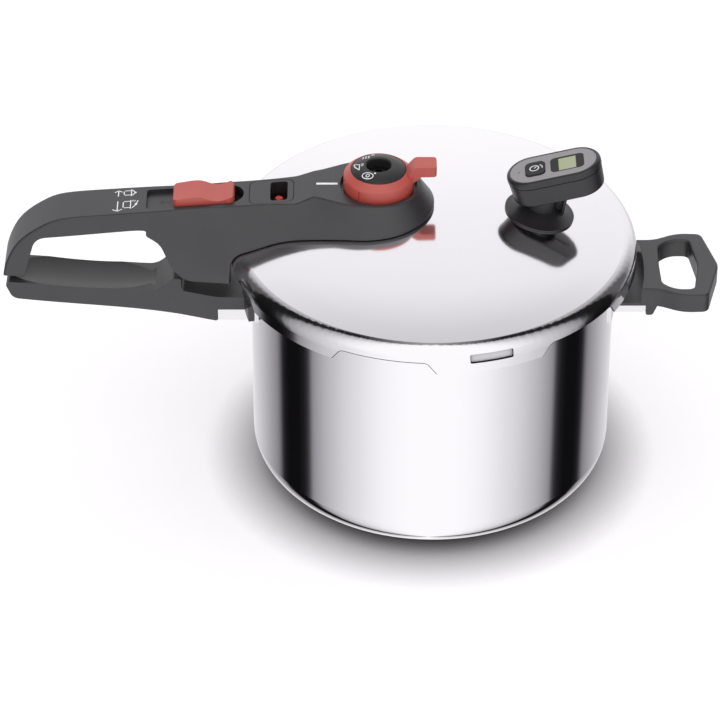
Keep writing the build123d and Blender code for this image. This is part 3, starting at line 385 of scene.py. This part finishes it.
# The lid's two settings: a shut pot with an arrow one way, an open and steaming pot with an
# arrow the other way. Lid, knob and steam are measured from the middle of the pot's rim.
lidMarks = {
    "arrowX": -190.3,
    "potX": (-187.2, -182.8),
    "corner": (0.7, 0.9),       # left open at the pot's lower corners, along X and along Y
    "rim": (0.35, 0.9),         # the rim's distance from the wall's end, and its overhang
    "finePen": 0.45,
    "shut": {
        "arrowY": (4.9, 11.0),
        "barb": 2.3,
        "potY": (5.6, 10.8),
        "lid": (((0.9, -2.8), (2.6, -0.4)), ((0.9, 2.8), (2.6, 0.4))),
        "knob": ((2.7, 0.0), 0.75),
        "steam": (),
    },
    "open": {
        "arrowY": (-0.3, -10.9),
        "barb": 2.9,
        "potY": (-8.0, -0.7),
        "lid": (((1.4, -3.85), (3.3, -0.9)), ((3.9, 0.7), (4.7, 3.85))),
        "knob": ((3.6, -0.1), 0.85),
        "steam": (((1.2, 3.25), (2.1, 4.55)), ((2.3, 2.75), (3.2, 4.05))),
    },
}

for setting in ("shut", "open"):
    row = lidMarks[setting]
    left, right = lidMarks["potX"]
    low, high = row["potY"]
    half = printing["pen"] / 2
    cornerX, cornerY = lidMarks["corner"]
    rimGap, overhang = lidMarks["rim"]
    rimMiddle = (right, (low + high) / 2)
    marks = arrow(*[(lidMarks["arrowX"], y) for y in row["arrowY"]], row["barb"])
    marks += [
        stroke((left + cornerX, low + half), (right, low + half)),
        stroke((left + cornerX, high - half), (right, high - half)),
        stroke((left + half, low + cornerY), (left + half, high - cornerY)),
        stroke((right + rimGap, low - overhang), (right + rimGap, high + overhang)),
    ]
    marks += [stroke(*shifted(rimMiddle, line)) for line in row["lid"]]
    knobPlace, knobRadius = row["knob"]
    marks.append(dot(shifted(rimMiddle, [knobPlace])[0], knobRadius))
    marks += [stroke(*shifted(rimMiddle, line), lidMarks["finePen"]) for line in row["steam"]]
    layMarkOn("mark_lid_" + setting, marks, "lid_handle_shell", "lid")

# The way to slide the button: an arrow moulded in its recess, laid on flat in the darker cap
# plastic; its darkness is painted shade of the moulding's edges.
slideMark = {"tail": (-158.2, -0.6), "tip": (-164.5, -0.6), "barb": 2.2, "pen": 0.5}
marks = arrow(slideMark["tail"], slideMark["tip"], slideMark["barb"], slideMark["pen"])
layMarkOn("mark_slide", marks, "lid_handle_shell", "lid", "cap_plastic")

# Settings on the cap: a dot that starts the row, then steam, vegetables and meat, each
# measured from its own place.
capMarks = {
    "centre": (-33.0, 0.0),
    "pen": 0.5,
    "start": {"place": (-3.5, 12.6), "radius": 1.15},
    "steam": {
        "place": (-7.6, 9.3),
        "shifts": (-1.7, 0.0, 1.7),
        "wisp": ((-0.5, -1.9), (0.35, -0.7), (-0.35, 0.7), (0.5, 1.9)),
    },
    "leaf": {
        "place": (-12.9, -0.6),
        "lines": (
            ((-1.9, 3.9), (-1.3, 0.2)), ((-1.3, 0.2), (1.2, -3.6)),
            ((-1.9, 3.9), (1.5, 1.6)), ((1.5, 1.6), (1.2, -3.6)),
            ((2.4, -0.2), (3.8, 0.8)), ((2.4, 1.2), (3.8, 2.2)),
        ),
    },
    "meat": {
        "place": (-6.6, -10.3),
        "radius": 2.9,
        "corners": 24,
        "stretch": (1.25, 0.85),
        "turn": -20,
        "boneRadius": 1.25,
        "bonePen": 0.45,
        "boneCorners": 18,
        "dot": ((4.4, 1.3), 0.6),
    },
}

places = {
    name: shifted(capMarks["centre"], [capMarks[name]["place"]])[0]
    for name in ("start", "steam", "leaf", "meat")
}
pen = capMarks["pen"]
marks = [dot(places["start"], capMarks["start"]["radius"])]
for shift in capMarks["steam"]["shifts"]:
    wisp = [(shift + x, y) for x, y in capMarks["steam"]["wisp"]]
    wisp = shifted(places["steam"], wisp)
    marks += [stroke(start, end, pen) for start, end in zip(wisp, wisp[1:])]
marks += [stroke(*shifted(places["leaf"], line), pen) for line in capMarks["leaf"]["lines"]]
meat = capMarks["meat"]
marks.append(
    ring(places["meat"], meat["radius"], pen, meat["corners"], meat["stretch"], meat["turn"])
)
marks.append(ring(places["meat"], meat["boneRadius"], meat["bonePen"], meat["boneCorners"]))
marks.append(dot(shifted(places["meat"], [meat["dot"][0]])[0], meat["dot"][1]))
layMarkOn("mark_settings", marks, "selector_cap", "selector")

# Stopwatch on the timer's key: dial, hand, crown and its stem, measured from the key's middle.
keyMark = {
    "centre": (60.7, 0.0),
    "dial": {"place": (-0.4, 0.0), "radius": 2.9, "pen": 0.6},
    "strokes": (
        (((-0.4, 0.0), (0.9, 1.2)), 0.5),
        (((3.0, 2.6), (4.2, 1.2)), 0.55),
        (((4.3, 0.9), (4.3, -0.9)), 0.55),
    ),
}

dial = keyMark["dial"]
marks = [ring(shifted(keyMark["centre"], [dial["place"]])[0], dial["radius"], dial["pen"])]
marks += [stroke(*shifted(keyMark["centre"], line), width) for line, width in keyMark["strokes"]]
layMarkOn("mark_stopwatch", marks, "timer_button", "timer_start")
print("printed the marks")


# A sub-part's copy, free of its body, with its loose triangles merged and none selected.
def copyOf(part, name):
    onlyOne(bpy.data.objects[part])
    bpy.ops.object.duplicate()
    copy = bpy.context.object
    copy.name = name
    for key in list(copy.keys()):
        del copy[key]
    bpy.ops.object.parent_clear(type="CLEAR_KEEP_TRANSFORM")
    placed(copy)
    bpy.ops.object.mode_set(mode="EDIT")
    bpy.ops.mesh.select_mode(type="FACE")
    bpy.ops.mesh.select_all(action="SELECT")
    bpy.ops.mesh.remove_doubles(threshold=0.01 * mm)
    bpy.ops.mesh.select_all(action="DESELECT")
    bpy.ops.object.mode_set(mode="OBJECT")
    return copy


# A painted shadow: a thin dark strip along the cut edges of the trimmed skirt, between the tabs
# and round the skirt's two openings, stands for the shadow of the gap under the edge.
edgeShadow = {
    "innerRadius": 0.1226,          # metres, just inside the skirt's sheet
    "heights": (0.1498, 0.1613),    # from above the tabs to the slot's upper edge
    "steep": 0.3,                   # largest share of the normal that points outwards
    "shadowLine": 0.4,                    # millimetres
}

shadowLine = copyOf("lid_shell", "skirt_cut_edge")
for polygon in shadowLine.data.polygons:
    outwards = polygon.center.to_2d()
    isCut = (
        outwards.length > edgeShadow["innerRadius"]
        and edgeShadow["heights"][0] < polygon.center.z < edgeShadow["heights"][1]
        and abs(polygon.normal.to_2d().dot(outwards.normalized())) < edgeShadow["steep"]
    )
    polygon.select = not isCut
bpy.ops.object.mode_set(mode="EDIT")
bpy.ops.mesh.delete(type="FACE")
bpy.ops.object.mode_set(mode="OBJECT")
thick = shadowLine.modifiers.new("shadowLine", "SOLIDIFY")
thick.thickness = edgeShadow["shadowLine"] * mm
thick.offset = 1.0
bpy.ops.object.modifier_apply(modifier="shadowLine")
# The strip's dark colour is the painted shadow.
shadowLine.data.materials.clear()
shadowLine.data.materials.append(looks["dark_steel"])
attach(shadowLine, "lid")
print("edged the skirt with", len(shadowLine.data.polygons), "faces")

# Each spring is swapped for a merged copy that rides with the lid; its axis and the end it is
# fixed at are worked out, but it is not shortened by its joint's travel, in millimetres.
springs = {
    "safety_valve_spring": {"joint": "safety_lift", "along": 2, "fixed": max, "travel": 1.5},
    "button_spring": {"joint": "button_slide", "along": 0, "fixed": min, "travel": 8.0},
}

for part, spring in springs.items():
    coil = copyOf(part, part + "_coil")
    ends = [v.co[spring["along"]] for v in coil.data.vertices]
    axis, anchor = Vector(), Vector()
    axis[spring["along"]] = 1.0
    anchor[spring["along"]] = spring["fixed"](ends)
    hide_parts(part)
    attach(coil, "lid")
    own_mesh(coil)
print("coiled the springs")

# A white floor that darkens close to the object, so that its shadow stays soft and near.
ground = {
    "size": 14.0,
    "colour": "#f5f2f6",
    "liftColour": "#fffdff",
    "lift": 0.27,            # share of white that the camera sees on the floor by itself
    "shadowReach": 0.037,    # metres from the object within which the floor darkens
    "shadowDepth": 1.35,
    "shadowSamples": 16,
}

bpy.ops.object.select_all(action="DESELECT")
bpy.ops.mesh.primitive_plane_add(size=ground["size"], location=(0, 0, 0))
floor = bpy.context.object
floor.name = "floor"
floorMaterial, tree = newMaterial("white studio floor")
path = addNode(tree, "ShaderNodeLightPath").outputs
near = addNode(
    tree,
    "ShaderNodeAmbientOcclusion",
    {"Distance": ground["shadowReach"]},
    samples=ground["shadowSamples"],
).outputs["AO"]
openness = addNode(
    tree, "ShaderNodeMath", {0: near, 1: ground["shadowDepth"]}, operation="POWER"
).outputs[0]
floorColour = addNode(
    tree,
    "ShaderNodeMix",
    {"Factor": openness, "A": (0, 0, 0, 1), "B": fromHex(ground["colour"])},
    data_type="RGBA",
).outputs["Result"]
matt = addNode(tree, "ShaderNodeBsdfDiffuse", {"Color": floorColour})
lift = addNode(
    tree, "ShaderNodeMath", {0: path["Is Camera Ray"], 1: ground["lift"]}, operation="MULTIPLY"
).outputs[0]
shadedLift = addNode(
    tree, "ShaderNodeMath", {0: lift, 1: openness}, operation="MULTIPLY"
).outputs[0]
glow = addNode(
    tree,
    "ShaderNodeEmission",
    {"Color": fromHex(ground["liftColour"]), "Strength": shadedLift},
)
both = addNode(tree, "ShaderNodeAddShader", {0: matt.outputs[0], 1: glow.outputs[0]})
addNode(tree, "ShaderNodeOutputMaterial", {"Surface": both.outputs[0]})
floor.data.materials.append(floorMaterial)
floor.visible_glossy = False

# Shiny surfaces see a white room that darkens to its sides, with one dark strip that
# arches overhead from side to side, a little behind the object. Matt surfaces get an even
# light, and the camera sees white. A reach is the share of a direction that points to the
# front, the back, the side or up.
room = {
    # light round the room by degrees from the front
    "around": (
        (0, "#ffffff"), (15, "#ffffff"), (22, "#fdfcfe"), (28, "#f9f8fa"), (34, "#f4f3f5"),
        (40, "#ecebed"), (46, "#e3e2e4"), (52, "#dbdadc"), (58, "#d0cfd1"), (64, "#c3c2c4"),
        (70, "#b5b4b6"), (74, "#a8a7a9"), (77, "#9d9c9e"), (80, "#8e8d8f"), (81.5, "#7a797b"),
        (83, "#545355"), (85, "#323133"), (88, "#1c1b1d"), (93, "#0f0e10"), (103, "#0f0e10"),
        (107, "#1b1a1c"), (109.5, "#2e2d2f"), (112, "#5c5b5d"), (114, "#79787a"),
        (117, "#8c8b8d"), (122, "#9b9a9c"), (128, "#aaa9ab"), (136, "#bcbbbd"),
        (146, "#cdccce"), (158, "#dbdadc"), (168, "#e8e7e9"), (180, "#ffffff"),
    ),
    # light of the ceiling behind the strip, by reach to the back
    "behind": (
        (-0.2, "#5b5a5c"), (0.0, "#99989a"), (0.2, "#bfbec0"), (0.309, "#cecdcf"),
        (0.407, "#e1e0e2"), (0.5, "#eeedef"), (0.588, "#f1f0f2"), (0.8, "#f6f5f7"),
        (1.0, "#ffffff"),
    ),
    "wallTop": (-0.3, 0.0),      # reach up over which the room's wall turns to its ceiling
    "stripFront": -0.03,         # front edge of the strip, as reach to the front
    "stripBack": (-0.18, -0.13), # its back edge overhead, and the gain to the sides
    "stripSoft": 0.05,
    "stripLight": (0.35, 0.006), # the strip's own light overhead, and from stripWidth on
    "stripWidth": 0.27,
    "frontRise": 0.35,           # reach up from which the ceiling in front is white
    "frontWhite": (25, 62),      # degrees from the front up to which it is so
    "mattBackToFront": (0.78, 1.08),   # light on matt surfaces from behind and from the front
    "mattLowToHigh": (0.7, 1.06),      # its share at the horizon and from highRise up
    "highRise": 0.6,
}

world = bpy.data.worlds.new("studio")
bpy.context.scene.world = world
world.use_nodes = True
tree = world.node_tree
tree.nodes.clear()

path = addNode(tree, "ShaderNodeLightPath").outputs
direction = addNode(tree, "ShaderNodeTexCoord").outputs["Generated"]
axes = addNode(tree, "ShaderNodeSeparateXYZ", {"Vector": direction}).outputs
toFront = addNode(tree, "ShaderNodeMath", {0: axes["Y"], 1: -1.0}, operation="MULTIPLY").outputs[0]
aside = addNode(tree, "ShaderNodeMath", {0: axes["X"]}, operation="ABSOLUTE").outputs[0]

# the wall of the room, by the turn from the front
pastStrip = addNode(
    tree, "ShaderNodeMath", {0: toFront, 1: -room["stripFront"]}, operation="ADD"
).outputs[0]
turn = addNode(tree, "ShaderNodeMath", {0: aside, 1: pastStrip}, operation="ARCTAN2").outputs[0]
halfTurns = addNode(tree, "ShaderNodeMath", {0: turn, 1: pi}, operation="DIVIDE").outputs[0]
around = addNode(
    tree,
    "ShaderNodeValToRGB",
    {"Fac": halfTurns},
    stops=[(degrees / 180, colour) for degrees, colour in room["around"]],
).outputs["Color"]

# the ceiling behind the strip
toBack = addNode(tree, "ShaderNodeMath", {0: toFront, 1: -1.0}, operation="MULTIPLY").outputs[0]
asideSquared = addNode(
    tree, "ShaderNodeMath", {0: aside, 1: aside}, operation="MULTIPLY"
).outputs[0]
reachBack = addNode(
    tree, "ShaderNodeMath", {0: toBack, 1: asideSquared}, operation="SUBTRACT"
).outputs[0]
first, last = room["behind"][0][0], room["behind"][-1][0]
fromFirst = addNode(
    tree, "ShaderNodeMath", {0: reachBack, 1: first}, operation="SUBTRACT"
).outputs[0]
behindPlace = addNode(
    tree, "ShaderNodeMath", {0: fromFirst, 1: last - first}, operation="DIVIDE"
).outputs[0]
behind = addNode(
    tree,
    "ShaderNodeValToRGB",
    {"Fac": behindPlace},
    stops=[((reach - first) / (last - first), colour) for reach, colour in room["behind"]],
).outputs["Color"]

# the strip itself, over the ceiling
backBase, backGain = room["stripBack"]
soft = room["stripSoft"] / 2
backEdge = addNode(
    tree, "ShaderNodeMath", {0: aside, 1: backGain, 2: backBase}, operation="MULTIPLY_ADD"
).outputs[0]
edgeStart = addNode(
    tree, "ShaderNodeMath", {0: backEdge, 1: soft}, operation="SUBTRACT"
).outputs[0]
edgeEnd = addNode(tree, "ShaderNodeMath", {0: backEdge, 1: soft}, operation="ADD").outputs[0]
inStrip = addNode(
    tree,
    "ShaderNodeMapRange",
    {"Value": toFront, "From Min": edgeStart, "From Max": edgeEnd},
    interpolation_type="SMOOTHSTEP",
).outputs["Result"]
stripLight = addNode(
    tree,
    "ShaderNodeMapRange",
    {
        "Value": aside,
        "From Max": room["stripWidth"],
        "To Min": room["stripLight"][0],
        "To Max": room["stripLight"][1],
    },
).outputs["Result"]
ceiling = addNode(
    tree, "ShaderNodeMix", {"Factor": inStrip, "A": behind, "B": stripLight}, data_type="RGBA"
).outputs["Result"]

# the ceiling in front of the strip, white towards the front and as the wall to the sides
facing = addNode(
    tree,
    "ShaderNodeMapRange",
    {
        "Value": turn,
        "From Min": radians(room["frontWhite"][1]),
        "From Max": radians(room["frontWhite"][0]),
    },
    interpolation_type="SMOOTHSTEP",
).outputs["Result"]
risen = addNode(
    tree,
    "ShaderNodeMapRange",
    {"Value": axes["Z"], "From Min": 0.0, "From Max": room["frontRise"]},
    interpolation_type="SMOOTHSTEP",
).outputs["Result"]
whiteness = addNode(tree, "ShaderNodeMath", {0: risen, 1: facing}, operation="MULTIPLY").outputs[0]
ahead = addNode(
    tree,
    "ShaderNodeMix",
    {"Factor": whiteness, "A": around, "B": (1, 1, 1, 1)},
    data_type="RGBA",
).outputs["Result"]
inFront = addNode(
    tree,
    "ShaderNodeMapRange",
    {
        "Value": toFront,
        "From Min": room["stripFront"] - soft,
        "From Max": room["stripFront"] + soft,
    },
    interpolation_type="SMOOTHSTEP",
).outputs["Result"]
ceiling = addNode(
    tree, "ShaderNodeMix", {"Factor": inFront, "A": ceiling, "B": ahead}, data_type="RGBA"
).outputs["Result"]
aboveWall = addNode(
    tree,
    "ShaderNodeMapRange",
    {"Value": axes["Z"], "From Min": room["wallTop"][0], "From Max": room["wallTop"][1]},
    interpolation_type="SMOOTHSTEP",
).outputs["Result"]
reflected = addNode(
    tree, "ShaderNodeMix", {"Factor": aboveWall, "A": around, "B": ceiling}, data_type="RGBA"
).outputs["Result"]

# the light on matt surfaces
mattLight = addNode(
    tree,
    "ShaderNodeMapRange",
    {
        "Value": toFront,
        "From Min": -1.0,
        "From Max": 1.0,
        "To Min": room["mattBackToFront"][0],
        "To Max": room["mattBackToFront"][1],
    },
).outputs["Result"]
heightShare = addNode(
    tree,
    "ShaderNodeMapRange",
    {
        "Value": axes["Z"],
        "From Max": room["highRise"],
        "To Min": room["mattLowToHigh"][0],
        "To Max": room["mattLowToHigh"][1],
    },
).outputs["Result"]
mattLight = addNode(
    tree, "ShaderNodeMath", {0: mattLight, 1: heightShare}, operation="MULTIPLY"
).outputs[0]

lit = addNode(
    tree,
    "ShaderNodeMix",
    {"Factor": path["Is Glossy Ray"], "A": mattLight, "B": reflected},
    data_type="RGBA",
).outputs["Result"]
seen = addNode(
    tree,
    "ShaderNodeMix",
    {"Factor": path["Is Camera Ray"], "A": lit, "B": (1, 1, 1, 1)},
    data_type="RGBA",
).outputs["Result"]
background = addNode(tree, "ShaderNodeBackground", {"Color": seen, "Strength": 1.0})
addNode(tree, "ShaderNodeOutputWorld", {"Surface": background.outputs[0]})

viewpoint = {"place": (-0.0442, -1.8328, 1.4242), "tilt": 53.5, "lens": 183, "sensor": 36}
bpy.ops.object.camera_add(
    location=viewpoint["place"], rotation=(radians(viewpoint["tilt"]), 0, 0)
)
camera = bpy.context.object
camera.data.lens = viewpoint["lens"]
camera.data.sensor_width = viewpoint["sensor"]
bpy.context.scene.camera = camera
bpy.context.scene.view_settings.view_transform = "Standard"
print("built the studio")
